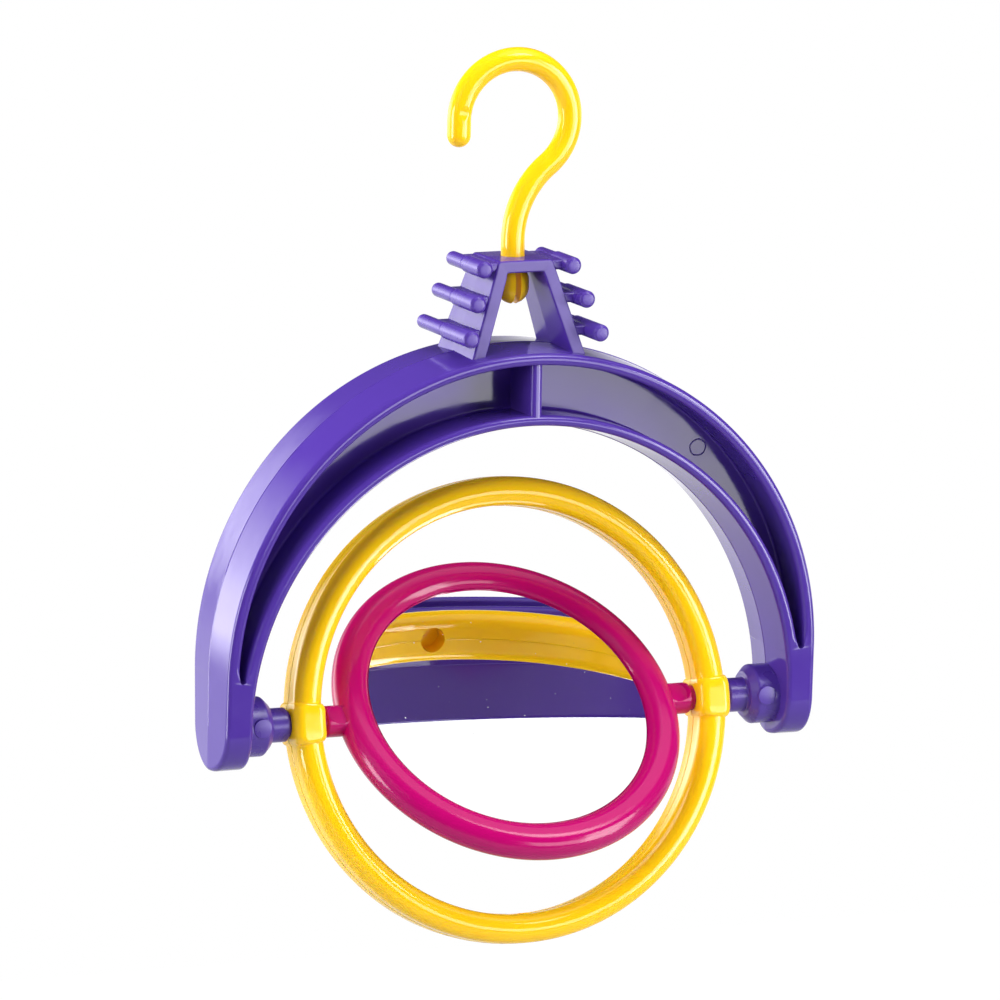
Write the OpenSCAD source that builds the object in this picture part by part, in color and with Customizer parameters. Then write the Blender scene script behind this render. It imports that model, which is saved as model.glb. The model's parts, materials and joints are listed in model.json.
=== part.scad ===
// Hanging bird mirror: a hook, an arch, a ring that spins in the arch, and a two-sided
// mirror that spins in the ring. The origin is where a cage bar sits, inside the top of the
// hook. X runs along the pivots, Y from front to back, Z up.

/* [Mirror] */
// Diameter of each mirror disc
mirror_d = 53.7; // [40:0.1:80]
// Thickness of each mirror disc
mirror_t = 1.1; // [0.8:0.1:2]
// Gap round and behind each disc
mirror_clearance = 0.1; // [0.05:0.05:0.3]
// How far the mirror leans back at rest
mirror_tilt = 46.8; // [0:0.1:80]

/* [Mirror rim] */
// Width of the rim's bead, measured along the radius
rim_w = 6.8; // [5:0.1:10]
// Depth of the rim, front to back
rim_d = 6.2; // [4.6:0.1:10]
// How far the rim laps over the mirror
rim_lap = 1.1; // [0.6:0.05:2]
// Number of press pegs between the two rim halves
rim_pegs = 6; // [4:1:8]
// Diameter of a rim press peg
rim_peg_d = 1.8; // [1:0.1:2.4]
// Length of a rim press peg
rim_peg_len = 1.5; // [0.8:0.1:1.8]

/* [Ring] */
// Open gap between the mirror rim and the ring
rim_gap = 4.2; // [3:0.05:10]
// Width of the ring's bead, measured along the radius
ring_w = 5.3; // [4.8:0.1:9]
// Depth of the ring, front to back
ring_d = 9.3; // [6.6:0.1:12]
// How far the ring leans back at rest
ring_tilt = 11; // [0:0.5:80]
// Height of a pivot lug
lug_h = 7.2; // [6.6:0.1:12]
// How far a lug stands proud of the ring's bead
lug_proud = 0.4; // [0.1:0.1:2]
// Corner radius of a pivot lug
lug_r = 1.2; // [1:0.1:3.2]
// Depth of the spare pin sockets at the ring's top and bottom
socket_depth = 3.5; // [1:0.1:4]
// Angle of the press pegs above and below the pivots
ring_peg_angle = 24; // [15:1:60]
// Diameter of a ring press peg
ring_peg_d = 2.4; // [1.5:0.1:3.5]
// Length of a ring press peg
ring_peg_len = 2.4; // [1:0.1:2.8]
// Gap round a press peg in its hole
peg_clearance = 0.03; // [0.02:0.01:0.1]

/* [Pivots] */
// Diameter of the journals that turn in the lugs
journal_d = 4.6; // [3:0.1:5]
// Radial gap between a journal and its bore
pivot_clearance = 0.05; // [0.03:0.01:0.1]
// Gap between a shoulder and the lug that it runs against
end_gap = 0.3; // [0.2:0.1:0.6]
// Gap between the two journals that share one lug
journal_gap = 0.6; // [0.3:0.1:1.5]
// Diameter of the stub on the mirror rim
stub_d = 5.7; // [5.2:0.1:7]
// Bare length of journal between the stub and the lug
stub_gap = 0.8; // [0.3:0.1:1.8]
// Diameter of the arch's pin outside the lug
pin_d = 6.2; // [5.2:0.1:7]
// Diameter of the boss inside each foot of the arch
boss_d = 10.8; // [8:0.1:14]
// How far the boss stands in from the arch
boss_len = 4.7; // [2:0.1:6]
// Chamfer round the boss
boss_chamfer = 1.3; // [0.4:0.1:2]

/* [Arch] */
// Open gap between the ring and the arch
arch_gap = 10.25; // [7:0.05:20]
// Thickness of the arch at its crown
arch_crown_t = 13; // [9:0.1:24]
// Thickness of the arch at its feet
arch_foot_t = 4.6; // [4.5:0.1:8]
// How far the middle of the inner curve is above the pivots
inner_lift = 1.2; // [0:0.1:4]
// Depth of the arch at its crown, front to back
arch_d = 22.5; // [14:0.5:26]
// Depth of the arch at its feet, front to back
arch_foot_d = 16.4; // [12:0.1:20]
// How far the outer wall swells out at its parting line
outer_draft = 0.7; // [0:0.1:1.5]
// How far the inner wall swells in at its parting line
inner_draft = 1.1; // [0:0.1:1.5]
// How far the feet reach below the pivots
foot_drop = 7.5; // [6:0.1:16]
// Thickness of the outer and inner flanges
flange_t = 2.1; // [1.5:0.1:2.1]
// Thickness of the web between the front and back recesses
web_t = 2; // [1.2:0.1:4]
// Height of the recess's lower end above the pivots
recess_end = 9.5; // [7:0.1:14]
// Thickness of the rib at the crown
rib_t = 2.2; // [1.2:0.1:4]

/* [Hanger] */
// Height of the hanger's top plate above the arch
hanger_h = 16.2; // [14:0.1:26]
// Width of the top plate
plate_w = 10.4; // [9:0.1:18]
// Depth of the top plate, front to back
plate_d = 12.4; // [9:0.1:16]
// Thickness of the top plate
plate_t = 2.2; // [1.6:0.1:4]
// Thickness of the legs, measured along X
leg_t = 2.5; // [1.6:0.1:3]
// How far each leg spreads out from the plate to the arch
leg_spread = 5.4; // [3:0.1:8]
// Depth of the legs at the arch, front to back
leg_foot_d = 16.6; // [13:0.1:18]
// Number of pegs on each leg
pegs = 3; // [1:1:3]
// Drop from the plate's top to the first peg
peg_drop = 1.1; // [1:0.1:3]
// Drop from one peg to the next
peg_pitch = 5.9; // [4:0.1:6]
// Distance from the leg to the middle of a peg
peg_offset = 3; // [2:0.1:5]
// Diameter of a peg's front half
peg_front_d = 3.1; // [2:0.1:3.6]
// Diameter of a peg's rear half
peg_rear_d = 2.6; // [1.6:0.1:3]
// Length of the first peg
peg_len = 16.4; // [12:0.1:24]
// How much longer each next peg is
peg_len_step = 3.8; // [0:0.1:5]
// Thickness of the web between a peg and its leg
peg_web_t = 1.8; // [1:0.1:2.4]

/* [Hook] */
// Diameter of the hook's rod
rod_d = 4.4; // [3:0.1:5.5]
// Radius of the hook's loop, to the middle of the rod
loop_r = 10.7; // [8:0.1:18]
// Radius of the bend that brings the loop back over the stem
bend_r = 17; // [10:0.5:30]
// Straight length of the hook's open tip, before its round end
tip_len = 2.5; // [0.5:0.1:8]
// Straight stem above the top plate
neck_len = 2.8; // [1:0.1:10]
// Radial gap between the stem and the hole in the plate
swivel_gap = 0.1; // [0.05:0.05:0.2]
// How far the snap bulb stands out past the rod
bulb_lip = 0.8; // [0.3:0.05:1]
// Straight middle of the bulb
bulb_waist = 1.2; // [0:0.1:4]
// Slack between the bulb and the plate
bulb_slack = 0.3; // [0.2:0.05:0.6]
// Width of the slot that lets the bulb squeeze through the plate
bulb_slot = 1; // [0.5:0.1:1.6]

/* [Hidden] */
$fn = 96;
overlap = 0.5;
bead_gap = 0.05;
// Turns the pivots about their own axis, so that the seams of their round faces clear the ridge
seam_turn = 30;

// Radii, from the mirror out to the arch
mirror_r = mirror_d / 2;
seat_r = mirror_r + mirror_clearance;
seat_half = mirror_t + 2 * mirror_clearance;
rim_inner_r = mirror_r - rim_lap;
rim_outer_r = rim_inner_r + rim_w;
rim_peg_r = (seat_r + rim_outer_r) / 2;
ring_inner_r = rim_outer_r + rim_gap;
ring_outer_r = ring_inner_r + ring_w;
ring_mid_r = ring_inner_r + ring_w / 2;
arch_inner_r = ring_outer_r + arch_gap;
arch_outer_r = arch_inner_r + arch_foot_t;
arch_lift = arch_crown_t - arch_foot_t + inner_lift;
arch_ridge_r = arch_inner_r - inner_draft;
bore_d = journal_d + 2 * pivot_clearance;

// Heights, from the bar that the hook hangs on down to the pivots
loop_z = rod_d / 2 - loop_r;
bend_angle = acos(bend_r / (loop_r + bend_r));
bend_z = loop_z - (loop_r + bend_r) * sin(bend_angle);
plate_top_z = bend_z - neck_len;
plate_low_z = plate_top_z - plate_t;
arch_z = plate_top_z - hanger_h - arch_outer_r;
pivot_z = arch_z - arch_lift;
crown_z = arch_z + arch_outer_r;
foot_z = pivot_z - foot_drop + arch_foot_d / 2;

// Hook bulb, placed so that it almost touches the rim of the plate's hole
hole_d = rod_d + 2 * swivel_gap;
bulb_r = rod_d / 2 + bulb_lip;
bulb_top_z = plate_low_z - bulb_slack - sqrt(pow(bulb_r, 2) - pow(hole_d / 2, 2));
bulb_low_z = bulb_top_z - bulb_waist;

// Distances from the middle to the shoulders along the pivots
boss_x = arch_ridge_r - boss_len;
lug_w = ring_w + 2 * lug_proud;
lug_d = ring_d + 2 * lug_proud;
lug_out_x = ring_mid_r + lug_w / 2 + end_gap;
stub_x = ring_mid_r - lug_w / 2 - stub_gap;

// Outer face of a leg at a given height
function leg_x(z) = plate_w / 2 + leg_spread * (plate_top_z - z) / hanger_h;

// Half the depth of a leg at a given height
function leg_y(z) = (plate_d + (leg_foot_d - plate_d) * (plate_top_z - z) / hanger_h) / 2;

// Lays a drawing of X and Z flat in the arch's plane and gives it depth along Y
module slab(depth) {
    rotate([90, 0, 0]) linear_extrude(depth, center = true) children();
}

// Lays a drawing of Y and Z across the object and gives it length along X
module bar(length) {
    rotate([90, 0, 90]) linear_extrude(length, center = true) children();
}

// Turns a drawing of radius and depth round the Y axis
module turned() {
    rotate([-90, 0, 0]) rotate_extrude() children();
}

// A rod along X between two distances from the middle, on one side
module rod_x(d, from, to, side) {
    translate([side * from, 0, 0]) rotate([0, side * 90, 0]) cylinder(d = d, h = to - from);
}

// A rectangle about the origin with round corners
module round_rect(w, d, r) {
    if (w > 2 * r) square([w - 2 * r, d], center = true);
    if (d > 2 * r) square([w, d - 2 * r], center = true);
    for (x = [-1, 1], y = [-1, 1])
        translate([x * (w / 2 - r), y * (d / 2 - r)]) circle(r);
}

// Half of a round bead's section: side -1 is the front half, 1 the rear half
module bead_half(mid_r, w, d, side) {
    intersection() {
        translate([mid_r, 0]) round_rect(w, d, min(w, d) / 2);
        translate([0, side > 0 ? 0 : -d]) square([mid_r + w, d]);
    }
}

// Everything on one side of the middle plane, large enough for the ring
module half_space(side) {
    size = 2 * arch_outer_r;
    translate([-size / 2, side > 0 ? 0 : -size, -size / 2]) cube(size);
}

// Moves what is drawn round the pivots to its place
module at_pivots() {
    translate([0, 0, pivot_z]) children();
}

// The same for what leans back with the ring or with the mirror
module at_ring() {
    at_pivots() rotate([-ring_tilt, 0, 0]) children();
}

module at_mirror() {
    at_pivots() rotate([-mirror_tilt, 0, 0]) children();
}

// Places a row of press pegs or their holes at the given angles from the right-hand pivot
module around(r, angles) {
    for (a = angles) rotate([0, -a, 0]) translate([r, 0, 0]) children();
}

function rim_angles() = [for (i = [0:rim_pegs - 1]) (i + 0.5) * 360 / rim_pegs];
function ring_angles() = [for (a = [0, 180], s = [-1, 1]) a + s * ring_peg_angle];

module press_peg(d, len) {
    rotate([90, 0, 0]) cylinder(d = d, h = len);
}

// Hook: tip, loop, bend and stem on one path, with a split bulb at the lower end. Each stretch
// stops just short of the next one, and a bead a hair thicker than the rod joins the two.
module hook_arc(r, from, to) {
    short = asin(bead_gap / r);
    rotate([90, 0, 0]) rotate([0, 0, from + short]) rotate_extrude(angle = to - from - 2 * short)
        translate([r, 0]) circle(d = rod_d);
}

module hook_bead(x, z) {
    translate([x, 0, z]) sphere(d = rod_d + 2 * bead_gap);
}

module hook_path() {
    translate([0, 0, loop_z]) hook_arc(loop_r, -bend_angle, 180);
    translate([bend_r, 0, bend_z]) hook_arc(bend_r, 180 - bend_angle, 180);
    translate([-loop_r, 0, loop_z - tip_len]) cylinder(d = rod_d, h = tip_len - bead_gap);
    translate([-loop_r, 0, loop_z - tip_len]) sphere(d = rod_d);
    translate([0, 0, bulb_top_z]) cylinder(d = rod_d, h = bend_z - bulb_top_z - bead_gap);
    hook_bead(-loop_r, loop_z);
    hook_bead(loop_r * cos(bend_angle), loop_z - loop_r * sin(bend_angle));
    hook_bead(0, bend_z);
}

module hook_bulb() {
    translate([0, 0, bulb_top_z]) sphere(bulb_r);
    translate([0, 0, bulb_low_z]) cylinder(r = bulb_r, h = bulb_waist);
    translate([0, 0, bulb_low_z]) sphere(bulb_r);
}

module hook() color("gold") {
    difference() {
        union() {
            hook_path();
            hook_bulb();
        }
        translate([-bulb_slot / 2, -bulb_r - overlap, bulb_low_z - bulb_r - overlap])
            cube([bulb_slot, 2 * (bulb_r + overlap), bulb_r + bulb_waist + overlap + bulb_r / 2]);
    }
}

// Arch: a crescent with a ridge along the middle of both walls. The walls are drawn a little
// deeper than the arch, with the same slope, and its side view trims them.
function trim_r(face_r, ridge_r) = face_r + (face_r - ridge_r) * 2 * overlap / arch_d;

module ridged_disc(face_r, ridge_r) {
    half = arch_d / 2 + overlap;
    r = trim_r(face_r, ridge_r);
    turned() polygon([[0, -half], [r, -half], [ridge_r, 0], [r, half], [0, half]]);
}

module ridged_block(face_r, ridge_r, drop) {
    half = arch_d / 2 + overlap;
    r = trim_r(face_r, ridge_r);
    translate([0, 0, -drop]) linear_extrude(drop)
        polygon([[-r, -half], [r, -half], [ridge_r, 0], [r, half], [-r, half], [-ridge_r, 0]]);
}

module arch_outside() {
    low = arch_lift + foot_drop;
    translate([0, 0, arch_z]) ridged_disc(arch_outer_r, arch_outer_r + outer_draft);
    translate([0, 0, arch_z]) ridged_block(arch_outer_r, arch_outer_r + outer_draft, low);
}

module arch_inside() {
    translate([0, 0, pivot_z + inner_lift]) {
        ridged_disc(arch_inner_r, arch_ridge_r);
        ridged_block(arch_inner_r, arch_ridge_r, arch_outer_r + foot_drop);
    }
}

// Side view of the arch: deepest at its crown, with feet that end in half rounds
module arch_side() {
    slope = (arch_d - arch_foot_d) / 2 / (crown_z - foot_z);
    top_half = arch_d / 2 + slope * (plate_top_z - crown_z);
    polygon([
        [-arch_foot_d / 2, foot_z], [-top_half, plate_top_z],
        [top_half, plate_top_z], [arch_foot_d / 2, foot_z]
    ]);
    translate([0, foot_z]) circle(d = arch_foot_d);
}

// Outline of the recess between the flanges, with the crown rib left standing
module recess_outline() {
    difference() {
        translate([0, arch_z]) circle(arch_outer_r - flange_t);
        translate([0, pivot_z + inner_lift]) circle(arch_inner_r + flange_t);
        translate([-arch_outer_r, pivot_z + recess_end - 2 * arch_outer_r])
            square(2 * arch_outer_r);
        translate([-rib_t / 2, pivot_z]) square([rib_t, 2 * arch_outer_r]);
    }
}

module recesses() {
    deep = (arch_d - web_t) / 2;
    for (side = [-1, 1])
        translate([0, side * (web_t + deep + overlap) / 2, 0]) slab(deep + overlap) recess_outline();
}

module arch_pivots() {
    for (side = [-1, 1]) {
        rod_x(boss_d, boss_x + boss_chamfer, arch_inner_r + overlap, side);
        translate([side * boss_x, 0, 0]) rotate([0, side * 90, 0])
            cylinder(d1 = boss_d - 2 * boss_chamfer, d2 = boss_d, h = boss_chamfer);
        rod_x(pin_d, lug_out_x, boss_x + overlap, side);
        rod_x(journal_d, ring_mid_r + journal_gap / 2, boss_x, side);
    }
}

// Hanger: two spread legs under a flat plate, with pegs standing off the legs
module hanger_front_view() {
    sink_z = arch_z + arch_outer_r - flange_t;
    difference() {
        polygon([
            [-leg_x(sink_z), sink_z], [-leg_x(plate_top_z), plate_top_z],
            [leg_x(plate_top_z), plate_top_z], [leg_x(sink_z), sink_z]
        ]);
        polygon([
            [leg_t - leg_x(sink_z), sink_z], [leg_t - leg_x(plate_low_z), plate_low_z],
            [leg_x(plate_low_z) - leg_t, plate_low_z], [leg_x(sink_z) - leg_t, sink_z]
        ]);
    }
}

module hanger_side_view() {
    sink_z = arch_z + arch_outer_r - flange_t;
    polygon([
        [-leg_y(sink_z), sink_z], [-leg_y(plate_top_z), plate_top_z],
        [leg_y(plate_top_z), plate_top_z], [leg_y(sink_z), sink_z]
    ]);
}

module peg(i, side) {
    z = plate_top_z - peg_drop - i * peg_pitch;
    x = leg_x(z) + peg_offset;
    half = (peg_len + i * peg_len_step) / 2;
    web_half = leg_y(z) - flange_t / 2;
    translate([side * x, 0, z]) {
        rotate([90, 0, 0]) cylinder(d = peg_front_d, h = half);
        rotate([-90, 0, 0]) cylinder(d = peg_rear_d, h = half - peg_rear_d / 2);
        translate([0, half - peg_rear_d / 2, 0]) sphere(d = peg_rear_d);
    }
    translate([side * (x - peg_offset / 2 - leg_t / 4), 0, z])
        cube([peg_offset + leg_t / 2, 2 * web_half, peg_web_t], center = true);
}

module hanger() {
    difference() {
        intersection() {
            slab(arch_d) hanger_front_view();
            bar(4 * (plate_w + leg_spread)) hanger_side_view();
        }
        translate([0, 0, plate_low_z - overlap]) cylinder(d = hole_d, h = plate_t + 2 * overlap);
    }
    for (side = [-1, 1], i = [0:pegs - 1]) peg(i, side);
}

module arch_frame() color("rebeccapurple") {
    difference() {
        intersection() {
            difference() {
                arch_outside();
                arch_inside();
            }
            bar(3 * arch_outer_r) arch_side();
        }
        recesses();
    }
    hanger();
    at_pivots() rotate([seam_turn, 0, 0]) arch_pivots();
}

// Ring: two half beads pressed together round the pins
module lugs() {
    for (side = [-1, 1])
        translate([side * ring_mid_r, 0, 0]) bar(lug_w) round_rect(lug_d, lug_h, lug_r);
}

module ring_bores() {
    for (side = [-1, 1]) {
        rod_x(bore_d, ring_mid_r - lug_w, ring_mid_r + lug_w, side);
        rotate([0, side * 90, 0]) rod_x(bore_d, ring_inner_r - overlap, ring_inner_r + socket_depth, 1);
    }
}

module ring_half(side) {
    difference() {
        union() {
            turned() bead_half(ring_mid_r, ring_w, ring_d, side);
            intersection() {
                lugs();
                half_space(side);
            }
        }
        ring_bores();
    }
}

module ring_front() color("gold") at_ring() {
    difference() {
        ring_half(-1);
        around(ring_mid_r, ring_angles())
            press_peg(ring_peg_d + 2 * peg_clearance, ring_peg_len + peg_clearance);
    }
}

module ring_rear() color("gold") at_ring() {
    ring_half(1);
    around(ring_mid_r, ring_angles()) press_peg(ring_peg_d, ring_peg_len);
}

// Mirror rim: two half beads that trap the discs; the rear half carries the journals
module rim_half(side) {
    mid_r = rim_inner_r + rim_w / 2;
    turned() difference() {
        bead_half(mid_r, rim_w, rim_d, side);
        translate([0, -seat_half]) square([seat_r, 2 * seat_half]);
    }
}

module rim_journals(extra) {
    for (side = [-1, 1]) {
        rod_x(stub_d + 2 * extra, rim_peg_r + rim_peg_d - extra, stub_x, side);
        rod_x(journal_d, stub_x, ring_mid_r - journal_gap / 2, side);
    }
}

module rim_front() color("mediumvioletred") at_mirror() {
    difference() {
        rim_half(-1);
        rim_journals(mirror_clearance);
        around(rim_peg_r, rim_angles())
            press_peg(rim_peg_d + 2 * peg_clearance, rim_peg_len + peg_clearance);
    }
}

module rim_rear() color("mediumvioletred") at_mirror() {
    rim_half(1);
    rim_journals(0);
    around(rim_peg_r, rim_angles()) press_peg(rim_peg_d, rim_peg_len);
}

// Mirror discs, back to back
module mirror_disc(side) {
    rotate([side * -90, 0, 0]) translate([0, 0, mirror_clearance])
        cylinder(r = mirror_r, h = mirror_t);
}

module mirror_front() color("gainsboro") at_mirror() mirror_disc(-1);

module mirror_rear() color("gainsboro") at_mirror() mirror_disc(1);

hook();
arch_frame();
ring_front();
ring_rear();
rim_front();
rim_rear();
mirror_front();
mirror_rear();
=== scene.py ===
# %% [markdown]
# # A hanging bird mirror
# A yellow hook carries a purple arch, a yellow ring spins between the arch's feet, and a two-sided
# mirror in a magenta rim spins inside the ring. All of it is glossy moulded plastic, so the lesson is
# about clean round edges, parting lines and soft studio light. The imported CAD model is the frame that
# every piece is built into, and its joints give the places that all other sizes hang from. Sizes are
# in millimetres and turn into metres only when a mesh is made.

# %% Load the frame
import json
import math

import bmesh
import bpy
import numpy as np
from mathutils import Matrix, Vector


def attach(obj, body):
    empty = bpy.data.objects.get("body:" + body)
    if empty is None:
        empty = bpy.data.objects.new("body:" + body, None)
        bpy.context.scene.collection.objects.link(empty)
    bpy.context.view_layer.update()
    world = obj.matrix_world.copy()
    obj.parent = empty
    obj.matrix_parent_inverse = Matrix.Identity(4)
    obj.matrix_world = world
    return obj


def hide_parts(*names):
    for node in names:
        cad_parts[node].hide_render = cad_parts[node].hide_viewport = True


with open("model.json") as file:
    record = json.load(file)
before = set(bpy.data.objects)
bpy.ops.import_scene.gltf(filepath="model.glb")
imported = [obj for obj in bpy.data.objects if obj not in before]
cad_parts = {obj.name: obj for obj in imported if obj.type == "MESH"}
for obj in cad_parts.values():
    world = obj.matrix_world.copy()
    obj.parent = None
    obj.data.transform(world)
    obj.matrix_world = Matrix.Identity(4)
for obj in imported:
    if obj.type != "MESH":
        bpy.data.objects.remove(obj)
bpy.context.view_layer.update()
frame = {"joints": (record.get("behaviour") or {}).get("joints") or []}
MM = 0.001
joints = {joint["name"]: joint for joint in frame["joints"]}
PIVOT_Z = joints["ring_spin"]["pos_m"][2] / MM
print("pivots lie", round(PIVOT_Z, 3), "mm below the cage bar")

# %% [markdown]
# ## The tools of the bench
# Every piece is a grid of points, worked out as one array, and a list of the quads between them. A
# closed section that is carried along a path wraps round in one direction. Where a row of the grid
# shrinks to a point, the doubled points are merged afterwards, which closes the surface at its poles.

# %% Grids and meshes
MERGE_DIST, DEAD_EDGE = 2e-6, 1e-7  # metres


def quads(rows, cols, wrap_rows=False):
    """Corner numbers of the quads of a grid whose columns go round."""
    row = np.arange(rows if wrap_rows else rows - 1)
    row, col = np.meshgrid(row, np.arange(cols), indexing="ij")
    next_row, next_col = (row + 1) % rows, (col + 1) % cols
    corners = [row * cols + col, next_row * cols + col, next_row * cols + next_col, row * cols + next_col]
    return np.stack(corners, -1).reshape(-1, 4)


def shell(grid, wrap_rows=False):
    """A grid of points (rows, columns, 3) in millimetres with the quads that join them."""
    return grid.reshape(-1, 3), quads(grid.shape[0], grid.shape[1], wrap_rows)


def capped(grid):
    """Adds to both ends of a grid a row that is shrunk to the end's middle point."""
    first = np.repeat(grid[:1].mean(1, keepdims=True), grid.shape[1], 1)
    last = np.repeat(grid[-1:].mean(1, keepdims=True), grid.shape[1], 1)
    return np.concatenate([first, grid, last])


def mesh_of(name, shells):
    """Joins shells into one mesh, merges doubled points and turns all faces outwards."""
    starts = np.cumsum([0] + [len(points) for points, _ in shells[:-1]])
    points = np.concatenate([points for points, _ in shells]) * MM
    faces = np.concatenate([faces + start for (_, faces), start in zip(shells, starts)])
    mesh = bpy.data.meshes.new(name)
    mesh.from_pydata(points.tolist(), [], faces.tolist())
    work = bmesh.new()
    work.from_mesh(mesh)
    bmesh.ops.remove_doubles(work, verts=work.verts, dist=MERGE_DIST)
    bmesh.ops.dissolve_degenerate(work, edges=work.edges, dist=DEAD_EDGE)
    bmesh.ops.recalc_face_normals(work, faces=work.faces)
    work.to_mesh(mesh)
    work.free()
    return mesh


def smooth(piece, sharp):
    """Smooth shading that favours large faces, with creases at edges past the given angle in degrees."""
    piece.data.shade_smooth()
    piece.data.set_sharp_from_angle(angle=math.radians(sharp))
    weigh = piece.modifiers.new("flat faces stay flat", "WEIGHTED_NORMAL")
    weigh.keep_sharp = True


def cut(piece, tool_shells):
    """Takes the tool's solid out of the piece and keeps the result as the piece's own mesh."""
    tool = bpy.data.objects.new("cutter", mesh_of("cutter", tool_shells))
    bpy.context.collection.objects.link(tool)
    modifier = piece.modifiers.new("cut", "BOOLEAN")
    modifier.object = tool
    modifier.operation = "DIFFERENCE"
    modifier.solver = "EXACT"
    bpy.context.view_layer.update()
    depsgraph = bpy.context.evaluated_depsgraph_get()
    result = bpy.data.meshes.new_from_object(piece.evaluated_get(depsgraph))
    piece.modifiers.clear()
    piece.data = result
    bpy.data.objects.remove(tool)


def add_piece(name, shells, body, node, sharp=38, holes=()):
    """Puts a piece into the scene on its body, in place of its CAD node."""
    piece = bpy.data.objects.new(name, mesh_of(name, shells))
    bpy.context.collection.objects.link(piece)
    if holes:
        cut(piece, holes)
    smooth(piece, sharp)
    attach(piece, body)
    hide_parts(node)
    print(name, len(piece.data.polygons), "faces")
    return piece


# %% [markdown]
# ## Sections and turned forms
# Moulded plastic has no sharp corners. So a section is given by its corners and a radius for each, and
# one helper swaps the corners for arcs, for a whole stack of sections at once. Pins, pegs and discs are
# turned on a lathe: a profile of distance and radius is spun about its axis.

# %% Rounded sections
def unit(v):
    """Vectors of length one; a vector of no length stays as it is."""
    length = np.linalg.norm(v, axis=-1, keepdims=True)
    return v / np.where(length < 1e-9, 1, length)


def rounded(corners, radii, steps=6):
    """Closed outlines with an arc of the given radius in place of each corner.

    Along the line that halves a corner, the arc's centre lies radius / sin(half the corner's angle)
    away, and the arc swings from the one side's touching point to the other's.
    """
    corners = np.asarray(corners, float)
    radii = np.broadcast_to(np.asarray(radii, float), corners.shape[:-1])[..., None]
    before = unit(np.roll(corners, 1, -2) - corners)
    after = unit(np.roll(corners, -1, -2) - corners)
    half = np.arccos(np.clip((before * after).sum(-1, keepdims=True), -1, 1)) / 2
    half = np.clip(half, 1e-3, math.pi / 2 - 1e-4)
    centre = corners + unit(before + after) * radii / np.sin(half)
    start = corners + before * radii / np.tan(half) - centre
    end = corners + after * radii / np.tan(half) - centre
    turn = (math.pi - 2 * half)[..., None, :]
    t = np.linspace(0, 1, steps)[:, None]
    swing = np.sin((1 - t) * turn) * start[..., None, :] + np.sin(t * turn) * end[..., None, :]
    arcs = centre[..., None, :] + swing / np.sin(turn)
    return arcs.reshape(*corners.shape[:-2], -1, 2)


def rounded_line(corners, radii, steps=6):
    """The same for an open line, whose two ends stay as they are."""
    radii = np.asarray(radii, float).copy()
    radii[0] = radii[-1] = 0
    line = rounded(corners, radii, steps)
    return line[steps - 1:-steps + 1]


# %% Lathe and lean
X, Y, Z = np.eye(3)
MIDDLE = np.zeros(3)


def turned(profile, origin, along, out, steps=64):
    """A profile of (distance a, radius r) spun about an axis by the angle t.

    A point is origin + a along + r (cos t out + sin t across), where across is square to the other two.
    """
    profile = np.asarray(profile, float)
    across = np.cross(along, out)
    angle = np.linspace(0, 2 * math.pi, steps, endpoint=False)
    spin = np.cos(angle)[:, None] * out + np.sin(angle)[:, None] * across
    return shell(origin + profile[:, :1, None] * along + profile[:, 1:, None] * spin)


def soft_max(a, b, blend):
    """The larger of two values, with the crease between them rounded over the given width."""
    return (a + b + np.sqrt((a - b) ** 2 + blend ** 2)) / 2


def lean(shells, degrees):
    """Leans shells back about the pivots' axis, as the spinning pieces rest."""
    c, s = math.cos(math.radians(degrees)), math.sin(math.radians(degrees))
    turn = np.array([[1, 0, 0], [0, c, s], [0, -s, c]])
    pivot = np.array([0, 0, PIVOT_Z])
    return [(points @ turn.T + pivot, faces) for points, faces in shells]


# %% [markdown]
# ## The hook
# The hook is one rod, bent like a question mark, with a split bulb at its lower end that snaps through
# the arch's plate. A bevelled curve would give the rod, but not the flat that the gate leaves near the
# tip or the fine flash along the parting line, so a round section is carried along the path with its
# radius changed a little where these marks are.

# %% Hook path
ROD_R = 2.2
LOOP_R, LOOP_Z = 10.7, -8.5
BEND_R = 17.0
BEND_ANGLE = math.acos(BEND_R / (LOOP_R + BEND_R))
BEND_Z = LOOP_Z - (LOOP_R + BEND_R) * math.sin(BEND_ANGLE)
TIP_LEN, NECK_LEN, PLATE_T = 2.5, 2.8, 2.2
PLATE_TOP_Z = BEND_Z - NECK_LEN
PLATE_LOW_Z = PLATE_TOP_Z - PLATE_T
SPLIT_RISE = 0.9  # the bulb's slot runs this far up into the plate's hole
SPLIT_Z = PLATE_LOW_Z + SPLIT_RISE


def hook_line():
    """Points and headings in the XZ plane: tip, clockwise loop, bend the other way, stem."""
    tip = np.linspace(TIP_LEN, 0, 14)[:-1]
    loop = np.linspace(math.pi, -BEND_ANGLE, 150)
    bend = np.linspace(math.pi - BEND_ANGLE, math.pi, 40)[1:]
    stem = np.linspace(BEND_Z, SPLIT_Z, 14)[1:]
    points = np.concatenate([
        np.stack([np.full_like(tip, -LOOP_R), LOOP_Z - tip], -1),
        np.stack([LOOP_R * np.cos(loop), LOOP_Z + LOOP_R * np.sin(loop)], -1),
        np.stack([BEND_R + BEND_R * np.cos(bend), BEND_Z + BEND_R * np.sin(bend)], -1),
        np.stack([np.zeros_like(stem), stem], -1),
    ])
    return points, unit(np.gradient(points, axis=0))


rod_line, rod_heading = hook_line()
rod_run = np.concatenate([[0], np.cumsum(np.linalg.norm(np.diff(rod_line, axis=0), axis=1))])
print("hook path is", round(rod_run[-1], 1), "mm long")

# %% Hook rod
FLASH, FLASH_SPREAD = 0.05, 0.05
GATE_AT, GATE_HALF, GATE_FLAT = 4.2, 1.4, 0.3


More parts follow.
